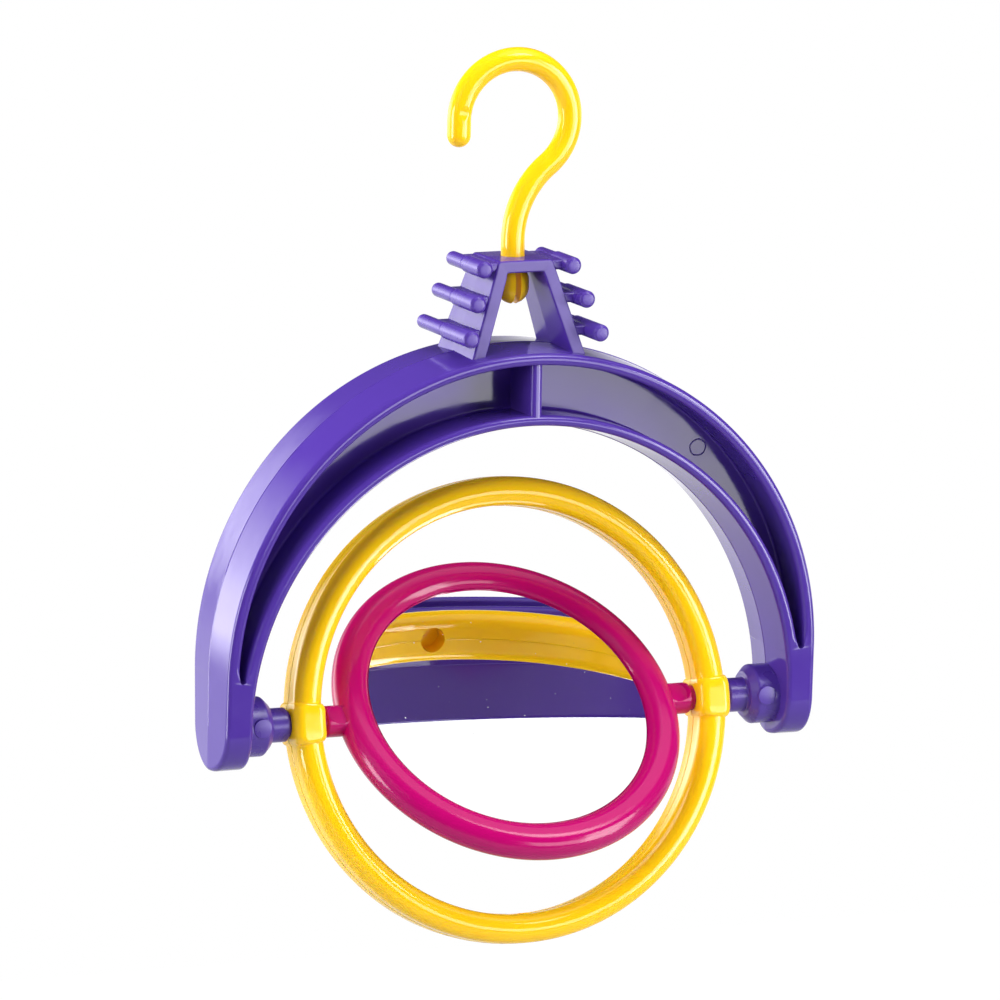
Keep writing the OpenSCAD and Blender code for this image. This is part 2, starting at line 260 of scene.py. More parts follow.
def hook_rod(steps=56):
    """Circles of the rod's radius across the path.

    Two fine flash lines stand on a bell curve of the angle, and at the gate the front is held back by
    a depth that fades as a parabola along the path.
    """
    angle = np.linspace(0, 2 * math.pi, steps, endpoint=False)
    flash = FLASH * np.exp(-(np.sin(angle) / FLASH_SPREAD) ** 2) - FLASH
    side = np.stack([-rod_heading[:, 1], rod_heading[:, 0]], -1)
    across = (ROD_R + flash) * np.cos(angle) * np.ones((len(rod_run), 1))
    deep = (ROD_R + flash) * np.sin(angle) * np.ones((len(rod_run), 1))
    gate = GATE_FLAT * np.clip(1 - ((rod_run - GATE_AT) / GATE_HALF) ** 2, 0, None)[:, None]
    deep = np.maximum(deep, gate - ROD_R)
    grid = np.zeros((len(rod_run), steps, 3))
    grid[..., 0] = rod_line[:, :1] + side[:, :1] * across
    grid[..., 1] = deep
    grid[..., 2] = rod_line[:, 1:] + side[:, 1:] * across
    return grid


def with_round_tip(grid, steps=12):
    """Closes the first end of the rod with a half ball: rows shrink as a cosine and move on as a sine."""
    middle = grid[:1].mean(1, keepdims=True)
    swing = np.linspace(math.pi / 2, 0, steps)[:-1, None, None]
    back = np.array([-rod_heading[0, 0], 0, -rod_heading[0, 1]]) * ROD_R
    ball = middle + (grid[:1] - middle) * np.cos(swing) + back * np.sin(swing)
    return np.concatenate([ball, grid])


# %% Hook bulb
HOLE_R = 2.3
BULB_R, BULB_SLOT, BULB_SLACK, BULB_WAIST = 3.0, 1.0, 0.3, 1.2
PRONG_OVERLAP, SLOT_EDGE = 0.6, 0.25


def bulb_prong(side, steps=48):
    """Half of a ball-ended bulb on one side of the slot: round sections, pressed flat on the inside."""
    top = PLATE_LOW_Z - BULB_SLACK - math.sqrt(BULB_R ** 2 - HOLE_R ** 2)
    low = top - BULB_WAIST
    neck = np.linspace(SPLIT_Z + PRONG_OVERLAP, top + math.sqrt(BULB_R ** 2 - ROD_R ** 2), 5)
    over = np.linspace(math.acos(ROD_R / BULB_R), 0, 12)[1:]
    under = np.linspace(0, math.pi / 2, 18)
    z = np.concatenate([neck, top + BULB_R * np.sin(over), low - BULB_R * np.sin(under)])
    r = np.concatenate([np.full_like(neck, ROD_R), BULB_R * np.cos(over), BULB_R * np.cos(under)])
    angle = np.linspace(0, 2 * math.pi, steps, endpoint=False)
    grid = np.zeros((len(z), steps, 3))
    grid[..., 0] = side * soft_max(r[:, None] * np.cos(angle), BULB_SLOT / 2, SLOT_EDGE)
    grid[..., 1] = r[:, None] * np.sin(angle)
    grid[..., 2] = z[:, None]
    return shell(capped(grid))


hook = add_piece(
    "hook_moulding",
    [shell(capped(with_round_tip(hook_rod()))), bulb_prong(-1), bulb_prong(1)],
    "hook", "hook",
)

# %% [markdown]
# ## The arch
# The arch is a crescent with a deep recess on both faces, so it is an I-beam that grows from thin feet
# to a tall crown. Its walls swell to a ridge at mid-depth, where the two mould halves met. One section
# with rounded corners is carried from foot to foot: the recess closes to a round end above each pivot,
# and below it the section is solid. The feet are finished by swinging the section under.

# %% Arch path
ARCH_IN, ARCH_OUT, ARCH_RISE, INNER_LIFT = 52.3, 56.9, 8.4, 1.2
ARCH_Z = PIVOT_Z + INNER_LIFT
CROWN_Z = ARCH_Z + ARCH_RISE + ARCH_OUT
CROWN_HALF, FOOT_HALF, FOOT_DROP = 11.25, 8.2, 7.5
FOOT_Z = PIVOT_Z - FOOT_DROP + FOOT_HALF
FLANGE, WEB_HALF = 2.1, 1.0
SLOT_END = 8.3
FOOT_MID, SLOT_MID = ARCH_IN + 2.3, ARCH_IN + 2.6  # middle of the beam at a foot and at a slot's end
FOOT_ROWS = 8


def arch_reach(angle):
    """Distance from the inner curve's middle to the outer wall: a raised circle, plumb towards the feet."""
    c, s = np.cos(angle), np.abs(np.sin(angle))
    circle = ARCH_RISE * c + np.sqrt(ARCH_OUT ** 2 - (ARCH_RISE * s) ** 2)
    return np.where(circle * c >= ARCH_RISE, circle, ARCH_OUT / np.maximum(s, 1e-6))


def arch_half(z):
    """Half the arch's depth, which grows evenly from the feet to the crown."""
    return FOOT_HALF + (CROWN_HALF - FOOT_HALF) * (z - FOOT_Z) / (CROWN_Z - FOOT_Z)


foot_turn = math.acos((FOOT_Z - ARCH_Z) / FOOT_MID)
slot_turn = math.acos(SLOT_END / SLOT_MID)
end_r = (float(arch_reach(np.array(slot_turn))) - ARCH_IN) / 2 - FLANGE
end_turn = end_r / SLOT_MID
right_turns = np.concatenate([
    np.linspace(foot_turn, slot_turn, FOOT_ROWS),
    slot_turn - end_turn * (1 - np.cos(np.linspace(0, math.pi / 2, 9))),
    np.linspace(slot_turn - end_turn, 0, 90)[1:],
])
arch_turns = np.concatenate([-right_turns, right_turns[-2::-1]])
print("slot ends", round(math.degrees(slot_turn), 1), "degrees from the crown")
print("slot ends are round to", round(end_r, 2), "mm")

# %% Arch section
RIDGE_IN, RIDGE_OUT = 1.1, 0.7
THIN_FLANGE, NARROW_SLOT = 0.35, 0.6  # the inner flange thins at the crown, but not in a narrow slot
RIM_ROUND, LIP_ROUND, ROOT_ROUND = 0.95, 0.85, 0.45
LIP_RUN, LIP_LEAST, ROOT_SHARE = 3, 0.02, 0.85
FLASH_HIGH, FLASH_WIDE = 0.09, 0.13
CREST_ROUND, CREST_FOOT = 0.04, 0.03


def arch_section(turn, thick, slot_half, open_):
    """Closed section in (outwards, depth): ridged walls, rounded flange rims and a recess in each face."""
    zero = np.zeros_like(thick)
    left, right = thick / 2 - slot_half, thick / 2 + slot_half
    left = left - THIN_FLANGE * np.cos(turn) * np.clip(slot_half / NARROW_SLOT, 0, 1)
    half = [arch_half(ARCH_Z + (ARCH_IN + q) * np.cos(turn)) for q in (zero, left, right, thick)]
    inner = -RIDGE_IN * (1 - half[0] / CROWN_HALF)
    outer = thick + RIDGE_OUT * (1 - half[3] / CROWN_HALF)
    floor = [np.where(open_, WEB_HALF, half[i]) for i in (1, 2)]
    front = [
        (inner, -half[0]), (left, -half[1]), (left, -floor[0]),
        (right, -floor[1]), (right, -half[2]), (outer, -half[3]),
    ]
    rear = [(q, -y) for q, y in front[::-1]]
    low, high = zero - RIDGE_IN, thick + RIDGE_OUT
    crest = [(high - FLASH_HIGH, zero - FLASH_WIDE), (high, zero), (high - FLASH_HIGH, zero + FLASH_WIDE)]
    outline = [(low, zero), (low + FLASH_HIGH, zero - FLASH_WIDE)] + front + crest + rear
    outline = outline + [(low + FLASH_HIGH, zero + FLASH_WIDE)]
    corners = np.stack([np.stack(c, -1) for c in outline], -2)
    return rounded(corners, arch_rounds(turn, slot_half, open_), 6)


def arch_rounds(turn, slot_half, open_):
    """Radii of the section's corners; the recess's lips grow from its round ends towards the crown."""
    zero = np.zeros_like(slot_half)
    grown = np.clip((slot_turn - np.abs(turn) - end_turn) / (LIP_RUN * end_turn), LIP_LEAST, 1)
    lip = np.where(open_, LIP_ROUND * grown, 0)
    root = np.where(open_, np.minimum(ROOT_ROUND, ROOT_SHARE * slot_half), 0)
    face = [zero + RIM_ROUND, lip, root, root, lip, zero + RIM_ROUND]
    crest = [zero + CREST_FOOT, zero + CREST_ROUND, zero + CREST_FOOT]
    return np.stack(crest[1:] + face + crest + face + crest[:1], -1)


# %% Arch surface
def foot_rows(row, section, side):
    """A foot: the depth shrinks as a cosine and swings down as a sine, and the walls keep their swell."""
    turn = np.linspace(0, math.pi / 2, 24)[:, None]
    q, y = section[:, 0], section[:, 1]
    new_y = y * np.cos(turn)
    share = np.clip(q / (ARCH_OUT - ARCH_IN), 0, 1)
    swell = (np.abs(y) - np.abs(new_y)) / CROWN_HALF
    x = row[:, 0] + side * swell * (RIDGE_OUT * share - RIDGE_IN * (1 - share))
    return np.stack([x, new_y, row[:, 2] - np.abs(y) * np.sin(turn)], -1)


def arch_surface():
    """Sections along the arch, then rows that swing each foot's section under as a half round."""
    thick = arch_reach(arch_turns) - ARCH_IN
    order = np.arange(len(arch_turns))
    open_ = (order >= FOOT_ROWS) & (order < len(arch_turns) - FOOT_ROWS)
    wide = thick / 2 - FLANGE
    past = np.clip((slot_turn - np.abs(arch_turns)) / end_turn, 0, 1)
    slot_half = np.where(open_, wide * np.sqrt(np.clip(1 - (1 - past) ** 2, 0, 1)), 0)
    section = arch_section(arch_turns, thick, slot_half, open_)
    out = np.stack([np.sin(arch_turns), np.cos(arch_turns)], -1)[:, None]
    grid = np.zeros(section.shape[:2] + (3,))
    grid[..., 0] = (ARCH_IN + section[..., 0]) * out[..., 0]
    grid[..., 1] = section[..., 1]
    grid[..., 2] = ARCH_Z + (ARCH_IN + section[..., 0]) * out[..., 1]
    left_foot = foot_rows(grid[0], section[0], -1)
    right_foot = foot_rows(grid[-1], section[-1], 1)
    return np.concatenate([left_foot[:0:-1], grid, right_foot[1:]])


arch_body = add_piece("arch_body", [shell(arch_surface())], "arch", "arch_frame", 30)

# %% [markdown]
# ## Crown rib, pivots and their marks
# A rib stands across each recess at the crown, under the hanger. Each foot carries a boss with a pin
# that reaches into the ring, and a small raised dot on the boss is where an ejector pin pushed the
# moulding out. Rib and bosses run into the arch, so each is a closed form that overlaps it.

# %% Crown ribs
RIB_X, RIB_HALF, RIB_BACK, RIB_SHORT = 0.8, 1.1, 0.75, 0.8
RIB_FLARE, RIB_ROOT = (1.2, 1.4), (1.4, 0.6)  # half width, and distance from the middle of the web


def crown_rib(side):
    """A rib along the crown's radius: a narrow section that flares at the web, lofted upwards."""
    front = arch_half(CROWN_Z) - RIB_BACK
    right = [(RIB_HALF, front), RIB_FLARE, RIB_ROOT]
    left = [(-x, y) for x, y in right[::-1]]
    section = rounded(left + right, [0.1, 0.4, 0.95, 0.95, 0.4, 0.1], 8)
    z = np.linspace(ARCH_Z + ARCH_IN + RIB_SHORT, CROWN_Z - RIB_SHORT, 6)
    grid = np.zeros((len(z), len(section), 3))
    grid[..., 0] = section[:, 0] + RIB_X
    grid[..., 1] = side * section[:, 1]
    grid[..., 2] = z[:, None]
    return shell(capped(grid))


ribs = add_piece("crown_ribs", [crown_rib(-1), crown_rib(1)], "arch", "arch_frame")

# %% Bosses and pins
BOSS_ROOT, BOSS_X, BOSS_R, BOSS_CHAMFER = 52.6, 46.5, 5.4, 1.3
PIN_R, JOURNAL_R, JOURNAL_GAP, END_GAP = 3.1, 2.3, 0.6, 0.3
RING_MID, RING_HALF_W, RING_HALF_D = 39.4, 2.63, 4.65
LUG_PROUD = 0.4
LUG_OUT = RING_MID + RING_HALF_W + LUG_PROUD
pivot_centre = np.array([0, 0, PIVOT_Z])


def boss_and_pin(side):
    """Boss, chamfer, pin and journal as one turned profile of distance from the middle and radius."""
    shoulder, tip = LUG_OUT + END_GAP, RING_MID + JOURNAL_GAP / 2
    profile = rounded_line(
        [(BOSS_ROOT, 0), (BOSS_ROOT, BOSS_R), (BOSS_X + BOSS_CHAMFER, BOSS_R),
         (BOSS_X, BOSS_R - BOSS_CHAMFER), (BOSS_X, PIN_R), (shoulder, PIN_R), (shoulder, JOURNAL_R),
         (tip, JOURNAL_R), (tip, 0)],
        [0, 0, 0.7, 0.4, 0.3, 0.55, 0.05, 0.3, 0], 8)
    return turned(profile, pivot_centre, side * X, Y)


# %% Ejector marks
DOT_X, DOT_UP, DOT_R = 49.1, 0.6, 1.75
DOT_ROOT, DOT_EDGE, DOT_TOP = -4, -5.5, -5.6
MARK_X, MARK_UP, MARK_R, MARK_THIN, MARK_PROUD = 36.4, 46.2, 1.5, 0.15, 0.04


def ejector_dot(side):
    """A low round pad on the front of a boss, turned about Y with a rounded edge."""
    corners = [(DOT_ROOT, 0), (DOT_ROOT, DOT_R), (DOT_EDGE, DOT_R), (DOT_TOP, 0)]
    profile = rounded_line(corners, [0, 0, 0.12, 0], 6)
    return turned(profile, pivot_centre + side * DOT_X * X + DOT_UP * Z, Y, X, 40)


def ejector_ring():
    """A raised ring on the web: a small circle carried round a larger one whose radius wavers."""
    around = np.linspace(0, 2 * math.pi, 72, endpoint=False)[:, None]
    tube = np.linspace(0, 2 * math.pi, 12, endpoint=False)
    waver = 0.05 * np.sin(2 * around + 1) + 0.03 * np.sin(5 * around)
    reach = MARK_R + waver + MARK_THIN * np.cos(tube)
    depth = MARK_PROUD - WEB_HALF - MARK_THIN * np.sin(tube) + 0 * around
    z = PIVOT_Z + MARK_UP + reach * np.sin(around)
    return shell(np.stack([MARK_X + reach * np.cos(around), depth, z], -1), True)


pins = add_piece(
    "pivot_pins",
    [make(side) for make in (boss_and_pin, ejector_dot) for side in (-1, 1)] + [ejector_ring()],
    "arch", "arch_frame",
)

# %% [markdown]
# ## The hanger
# Two legs spread from a small plate that the hook's stem turns in. Legs and plate are one band of the
# same moulding, so one section is carried up the left leg, across the plate and down the right one,
# with a ridge at mid-depth like the arch's. The corners of the path are arcs, and the hole is cut last.

# %% Hanger lines
PLATE_W, PLATE_HALF_D = 10.4, 6.2
LEG_T, LEG_SPREAD, LEG_FOOT_HALF_D, LEG_ROOT = 2.5, 5.4, 8.3, 1.6
HANGER_H = 16.2
BAND_BEND_OUT, BAND_BEND_IN = 0.7, 0.35
LEG_ROWS, UNDER_SHARE = 12, 0.55


def leg_x(z):
    """Outer face of a leg at a height."""
    return PLATE_W / 2 + LEG_SPREAD * (PLATE_TOP_Z - z) / HANGER_H


def leg_y(z):
    """Half the depth of a leg at a height."""
    return PLATE_HALF_D + (LEG_FOOT_HALF_D - PLATE_HALF_D) * (PLATE_TOP_Z - z) / HANGER_H


def round_bend(line, corner, radius):
    """Left half of a band line with its one bend made round, followed by its mirror image."""
    arc = rounded(line[corner - 1:corner + 2], [0, radius, 0], 8)[8:16]
    half = np.concatenate([line[:corner], arc, line[corner + 1:]])
    return np.concatenate([half, (half * [-1, 1])[-2::-1]])


def band_lines():
    """Outer and inner lines of the band in (x, z), with the same number of points."""
    height = np.linspace(PLATE_TOP_Z - HANGER_H - LEG_ROOT, PLATE_LOW_Z - 1, LEG_ROWS)
    outer_leg = np.stack([-leg_x(height), height], -1)
    inner_leg = np.stack([LEG_T - leg_x(height), height], -1)
    top = np.array([[-leg_x(PLATE_TOP_Z), PLATE_TOP_Z]])
    under = np.array([[LEG_T - leg_x(PLATE_LOW_Z), PLATE_LOW_Z]])
    across = np.stack([np.linspace(LEG_T - PLATE_W / 2, 0, 6), np.zeros(6)], -1)
    outer = np.concatenate([outer_leg, top, across + [0, PLATE_TOP_Z]])
    inner = np.concatenate([inner_leg, under, across * [UNDER_SHARE, 1] + [0, PLATE_LOW_Z]])
    return round_bend(outer, LEG_ROWS, BAND_BEND_OUT), round_bend(inner, LEG_ROWS, BAND_BEND_IN)


# %% Hanger band
PLATE_RIDGE, LEG_RIDGE = 0.1, 0.35
CUTTER_PAST = 2


def hanger_band():
    """Sections from the inner to the outer line: ridged faces, depth growing down the legs, round edges."""
    outer, inner = band_lines()
    thick = np.linalg.norm(outer - inner, axis=1)
    out = unit(outer - inner)
    depth = leg_y(np.minimum(outer[:, 1], PLATE_TOP_Z))
    ridge = np.where(outer[:, 1] > PLATE_LOW_Z, PLATE_RIDGE, LEG_RIDGE)
    zero = np.zeros_like(thick)
    outline = [
        (-ridge, zero), (zero, -depth), (thick, -depth),
        (thick + ridge, zero), (thick, depth), (zero, depth),
    ]
    corners = np.stack([np.stack(c, -1) for c in outline], -2)
    section = rounded(corners, [0.15, 0.45, 0.45, 0.15, 0.45, 0.45], 6)
    grid = np.zeros(section.shape[:2] + (3,))
    grid[..., 0] = inner[:, :1] + out[:, :1] * section[..., 0]
    grid[..., 1] = section[..., 1]
    grid[..., 2] = inner[:, 1:] + out[:, 1:] * section[..., 0]
    return shell(capped(grid))


hole_low, hole_top = PLATE_LOW_Z - CUTTER_PAST, PLATE_TOP_Z + CUTTER_PAST
hole = turned([(hole_low, 0), (hole_low, HOLE_R), (hole_top, HOLE_R), (hole_top, 0)], MIDDLE, Z, X)
hanger = add_piece("hanger", [hanger_band()], "arch", "arch_frame", 35, [hole])

# %% [markdown]
# ## The pegs
# Three pegs stand off each leg, longer from top to bottom, each on a thin web. A peg's front half is
# thicker and ends in a bevel and a slightly domed face. Its rear half is thinner with a round end. The
# step between them lies on the parting line, with a shallow groove behind it. Pegs are turned profiles,
# and the webs are small rounded slabs.

# %% Pegs
PEG_DROP, PEG_PITCH, PEG_OFFSET = 1.1, 5.9, 3.0
PEG_FRONT_R, PEG_REAR_R, PEG_LEN, PEG_STEP = 1.55, 1.3, 16.4, 3.8
PEG_DOME, PEG_BEVEL = 0.1, 0.5
GROOVE, GROOVE_FROM, GROOVE_TO, GROOVE_OUT, REAR_FROM = 0.1, 0.05, 0.4, 0.8, 1.2


def peg_z(row):
    """Height of a row of pegs."""
    return PLATE_TOP_Z - PEG_DROP - row * PEG_PITCH


def peg(row, side):
    """A stepped pin along Y: bevelled front end, step and groove at mid-depth, half-ball rear end."""
    z = peg_z(row)
    half = (PEG_LEN + row * PEG_STEP) / 2
    ball = np.radians(np.linspace(0, 90, 10))
    front = rounded_line(
        [(-half, 0), (PEG_DOME - half, PEG_FRONT_R - PEG_BEVEL), (PEG_BEVEL - half, PEG_FRONT_R),
         (0, PEG_FRONT_R), (GROOVE_FROM, PEG_REAR_R - GROOVE), (GROOVE_TO, PEG_REAR_R - GROOVE),
         (GROOVE_OUT, PEG_REAR_R), (REAR_FROM, PEG_REAR_R)],
        [0, 0.15, 0.4, 0.3, 0.1, 0.2, 0.2, 0], 6)
    rear = np.stack([half - PEG_REAR_R + PEG_REAR_R * np.sin(ball), PEG_REAR_R * np.cos(ball)], -1)
    place = np.array([side * (leg_x(z) + PEG_OFFSET), 0, z])
    return turned(np.concatenate([front, rear]), place, Y, X, 40)


# %% Peg webs
PEG_WEB_HALF, PEG_WEB_BACK, PEG_WEB_ROUND, PEG_WEB_ROOT = 0.9, 0.4, 0.5, 1


def peg_web(row, side):
    """A slab between leg and peg: a rounded section in (y, z) carried along X."""
    z = peg_z(row)
    deep = leg_y(z) - PEG_WEB_BACK
    corners = [(-deep, -PEG_WEB_HALF), (deep, -PEG_WEB_HALF), (deep, PEG_WEB_HALF), (-deep, PEG_WEB_HALF)]
    section = rounded(corners, PEG_WEB_ROUND, 7)
    x = side * np.linspace(leg_x(z) - PEG_WEB_ROOT, leg_x(z) + PEG_OFFSET, 5)
    grid = np.zeros((len(x), len(section), 3))
    grid[..., 0] = x[:, None]
    grid[..., 1] = section[:, 0]
    grid[..., 2] = section[:, 1] + z
    return shell(capped(grid))


places = [(row, side) for row in range(3) for side in (-1, 1)]
pegs = add_piece(
    "pegs", [make(*place) for make in (peg, peg_web) for place in places],
    "arch", "arch_frame",
)

# %% [markdown]
# ## The ring
# The ring is two half beads pressed together, so a fine seam runs round it at mid-depth. At the pivots
# the bead swells into pillow-shaped lugs. Each half is a section carried round the circle, with width,
# depth and corner radius as functions of the angle. The bores and the two spare sockets are cut last.

# %% Ring halves
LUG_HALF_H, LUG_EDGE, LUG_CORNER = 3.6, 1.8, 1.7
PAST_LUG = 0.004  # radians from a lug's end to the next row
SEAM_HIGH, SEAM_WIDE, SEAM_ROUND, SEAM_HALF = 0.08, 0.12, 0.03, 0.01
HAIR = 1e-3


def ring_angles():
    """Angles round the ring, close together at the ends of the lugs."""
    half_lug = LUG_HALF_H / RING_MID
    edge = LUG_EDGE / RING_MID
    inside = np.linspace(0, half_lug - edge, 7)
    curve = half_lug - edge * (1 - np.sin(np.linspace(0, math.pi / 2, 10)))
    rest = np.linspace(half_lug + PAST_LUG, math.pi / 2, 70)
    quarter = np.concatenate([inside, curve[1:], rest])
    half = np.concatenate([quarter, math.pi - quarter[-2::-1]])
    return np.concatenate([half, math.pi + half[1:-1]])


def ring_half(side):
    """Half bead round Y: x = r cos, z = r sin, with the section's size set by how far into a lug it is."""
    angle = ring_angles()
    height = np.abs(RING_MID * np.sin(angle))
    past = np.clip((height - LUG_HALF_H + LUG_EDGE) / LUG_EDGE, 0, 1)
    lug = np.where(height < LUG_HALF_H + 1e-6, np.sqrt(np.clip(1 - past ** 2, 0, 1)), 0)
    wide, deep = RING_HALF_W + LUG_PROUD * lug, RING_HALF_D + LUG_PROUD * lug
    corner = RING_HALF_W - HAIR - (RING_HALF_W - LUG_CORNER) * lug
    seam = np.full_like(wide, SEAM_ROUND)
    zero = np.zeros_like(wide)
    half = [(wide, deep), (wide, zero + SEAM_WIDE), (wide + SEAM_HIGH, zero + SEAM_HALF)]
    outline = [(-w, d) for w, d in half[::-1]] + half
    corners = np.stack([np.stack(c, -1) for c in outline], -2)
    section = rounded(corners, np.stack([seam / 3, seam, corner, corner, seam, seam / 3], -1), 10)
    r = RING_MID + section[..., 0]
    grid = np.stack([r * np.cos(angle)[:, None], side * section[..., 1], r * np.sin(angle)[:, None]], -1)
    return [shell(grid, True)]


# %% Ring bores and sockets
RING_TILT = 11.0
BORE_FROM, BORE_TO, BORE_R = 35.0, LUG_OUT + 1, 2.35
SOCKET_FROM, SOCKET_DEPTH = RING_MID - RING_HALF_W, 3.5


def ring_holes():
    """Bores along X through the lugs and blind sockets inside the ring's top and bottom."""
    floor = SOCKET_FROM + SOCKET_DEPTH
    bore = [(BORE_FROM, 0), (BORE_FROM, BORE_R), (BORE_TO, BORE_R), (BORE_TO, 0)]
    socket = [(SOCKET_FROM - 1, 0), (SOCKET_FROM - 1, BORE_R), (floor, BORE_R), (floor, 0)]
    bores = [turned(bore, MIDDLE, side * X, Y, 48) for side in (-1, 1)]
    return bores + [turned(socket, MIDDLE, side * Z, Y, 48) for side in (-1, 1)]


ring_pieces = [
    add_piece(
        "ring_" + name, lean(ring_half(side), RING_TILT), "ring", "ring_" + name, 35,
        lean(ring_holes(), RING_TILT),
    )
    for name, side in (("front", -1), ("rear", 1))
]

# %% [markdown]
# ## The mirror and its rim
# Two glass-like discs lie back to back, trapped by the lips of a rim in two halves. The rim's halves
# are turned profiles; the rear one carries the stubs that turn in the ring. A stub has a round flat on
# its front, where an ejector pin pushed the moulding out, so its surface is held back inside a circle.

# %% Rim halves
MIRROR_TILT = 46.8
RIM_MID, RIM_HALF_W, RIM_HALF_D, RIM_LIP_R = 29.15, 3.34, 3.1, 26.1
SEAT_R, SEAT_DEPTH = 26.95, 1.3


def rim_half(side):
    """Half a bead with a seat for the disc: the outside is an arc, the lip ends over the disc."""
    outer_r = RIM_MID + RIM_HALF_W
    corners = [
        (SEAT_DEPTH, SEAT_R), (SEAT_DEPTH, RIM_LIP_R), (RIM_HALF_D, RIM_LIP_R),
        (RIM_HALF_D, outer_r), (0, outer_r), (0, SEAT_R),
    ]
    outline = rounded(corners, [0.02, 0.15, 2.6, 3.0, 0.1, 0.02], 14)
    outline[:, 0] *= side
    angle = np.linspace(0, 2 * math.pi, 200, endpoint=False)[:, None]
    a, r = outline[:, 0], outline[:, 1]
    return shell(np.stack([r * np.cos(angle), a * np.ones_like(angle), r * np.sin(angle)], -1), True)


# %% Stubs
STUB_R, STUB_ROOT, STUB_X, STUB_EDGE = 2.85, 30.5, 35.55, 0.6
PAD_X, PAD_R, PAD_FLAT, PAD_EDGE = 33.0, 1.95, 1.9, 0.45


def stub(side):
    """Stub and journal turned about X.

    On the front the depth is held to a flat inside a circle, and the limit grows by 1 mm over its edge.
    """
    edge, tip = STUB_X - STUB_EDGE, RING_MID - JOURNAL_GAP / 2
    along = np.linspace(STUB_ROOT, edge, 48)
    shoulder = rounded_line(
        [(edge, STUB_R), (STUB_X, STUB_R), (STUB_X, JOURNAL_R), (tip, JOURNAL_R), (tip, 0)],
        [0, 0.5, 0.05, 0.3, 0], 8)
    barrel = np.stack([along, np.full_like(along, STUB_R)], -1)
    profile = np.concatenate([[(STUB_ROOT, 0)], barrel, shoulder])
    points, faces = turned(profile, MIDDLE, side * X, Y, 160)
    reach = np.hypot(np.abs(points[:, 0]) - PAD_X, points[:, 2])
    limit = PAD_FLAT + np.clip((reach - PAD_R) / PAD_EDGE, 0, 1)
    points[:, 1] = np.maximum(points[:, 1], -limit)
    return points, faces


rim_front = add_piece(
    "rim_front_half", lean([rim_half(-1)], MIRROR_TILT),
    "mirror", "rim_front", 30,
)
rim_rear = add_piece(
    "rim_rear_half", lean([rim_half(1), stub(-1), stub(1)], MIRROR_TILT),
    "mirror", "rim_rear", 30,
)

# %% Mirror discs
MIRROR_R, DISC_GAP, DISC_T = 26.85, 0.1, 1.1


def disc(side):
    """A flat disc with ground edges, turned about the mirror's own axis."""
    face = DISC_GAP + DISC_T
    corners = [(DISC_GAP, 0), (DISC_GAP, MIRROR_R), (face, MIRROR_R), (face, 0)]
    return turned(rounded_line(corners, [0, 0.1, 0.1, 0], 2), MIDDLE, side * Y, X, 160)


discs = [
    add_piece(
        "mirror_" + name + "_disc", lean([disc(side)], MIRROR_TILT), "mirror",
        "mirror_" + name, 15,
    )
    for name, side in (("front", -1), ("rear", 1))
]

# %% [markdown]
# ## Finishes
# A shader is a small sum, so sums are written as such: one class wraps a node's output, and plus, minus
# and times add the Math nodes. The plastics share one recipe: a clear colour, a gloss that varies with
# faint handling marks, and a very fine unevenness that makes long highlights waver as on real mouldings.
# Purple comes in three kinds: glossy on the arch, satin on pins and pegs, and spark-textured with a
# painted sheen on the hanger's front. The yellow lets a little light in, as thin bright plastic does.

# %% Shader sums
class Lead:
    """A node's output in a material, which takes part in sums as a number would."""

    def __init__(self, tree, socket=None):
        self.tree = tree
        self.socket = socket

    def node(self, kind, settings=None, sockets=None, output=0):
        """Adds a node: its settings first, then values or links for its sockets."""
        made = self.tree.nodes.new(kind)
        for name, value in (settings or {}).items():
            setattr(made, name, value)
        for name, value in (sockets or {}).items():
            if isinstance(value, Lead):
                self.tree.links.new(value.socket, made.inputs[name])
            else:
                made.inputs[name].default_value = value
        return Lead(self.tree, made.outputs[output] if made.outputs else None)

    def sum(self, operation, first, second):
        """Adds a Math node that joins two leads or numbers."""
        return self.node("ShaderNodeMath", {"operation": operation}, {0: first, 1: second})

    def __add__(self, other):
        return self.sum("ADD", self, other)

    def __sub__(self, other):
        return self.sum("SUBTRACT", self, other)

    def __rsub__(self, other):
        return self.sum("SUBTRACT", other, self)

    def __mul__(self, other):
        return self.sum("MULTIPLY", self, other)

    __radd__ = __add__
    __rmul__ = __mul__


# %% Shader helpers
def new_finish(name):
    """An empty material and the lead that its nodes start from."""
    material = bpy.data.materials.new(name)
    material.use_nodes = True
    material.node_tree.nodes.clear()
    return material, Lead(material.node_tree)


def noise(lead, place, scale, detail=2.0):
    """Noise from 0 to 1 over Object coordinates, with its scale in waves per metre."""
    return lead.node("ShaderNodeTexNoise", {}, {
        "Vector": place, "Scale": scale, "Detail": detail, "Roughness": 0.5})


def ramp(lead, value, low, high):
    """0 below low, 1 above high, straight in between."""
    return lead.node("ShaderNodeMapRange", {"clamp": True}, {
        "Value": value, "From Min": low, "From Max": high, "To Min": 0.0, "To Max": 1.0})


def mix(lead, share, first, second):
    """A colour between two others."""
    return lead.node("ShaderNodeMix", {"data_type": "RGBA"}, {0: share, 6: first, 7: second}, output=2)


# %% Plastics
# A paler tint painted on the spark-textured front faces: a painted sheen that stands in for their matt
# reflection.
PAINTED_SHEEN = (0.33, 0.30, 0.46)


def spark_front_and_sheen(lead):
    """1 on faces that look straight to the front: spark-textured there, and given a painted sheen."""
    normal = lead.node("ShaderNodeTexCoord", output=1)
    facing = lead.node("ShaderNodeSeparateXYZ", {}, {0: normal}, output=1)
    return ramp(lead, 0 - facing, 0.8, 0.95)


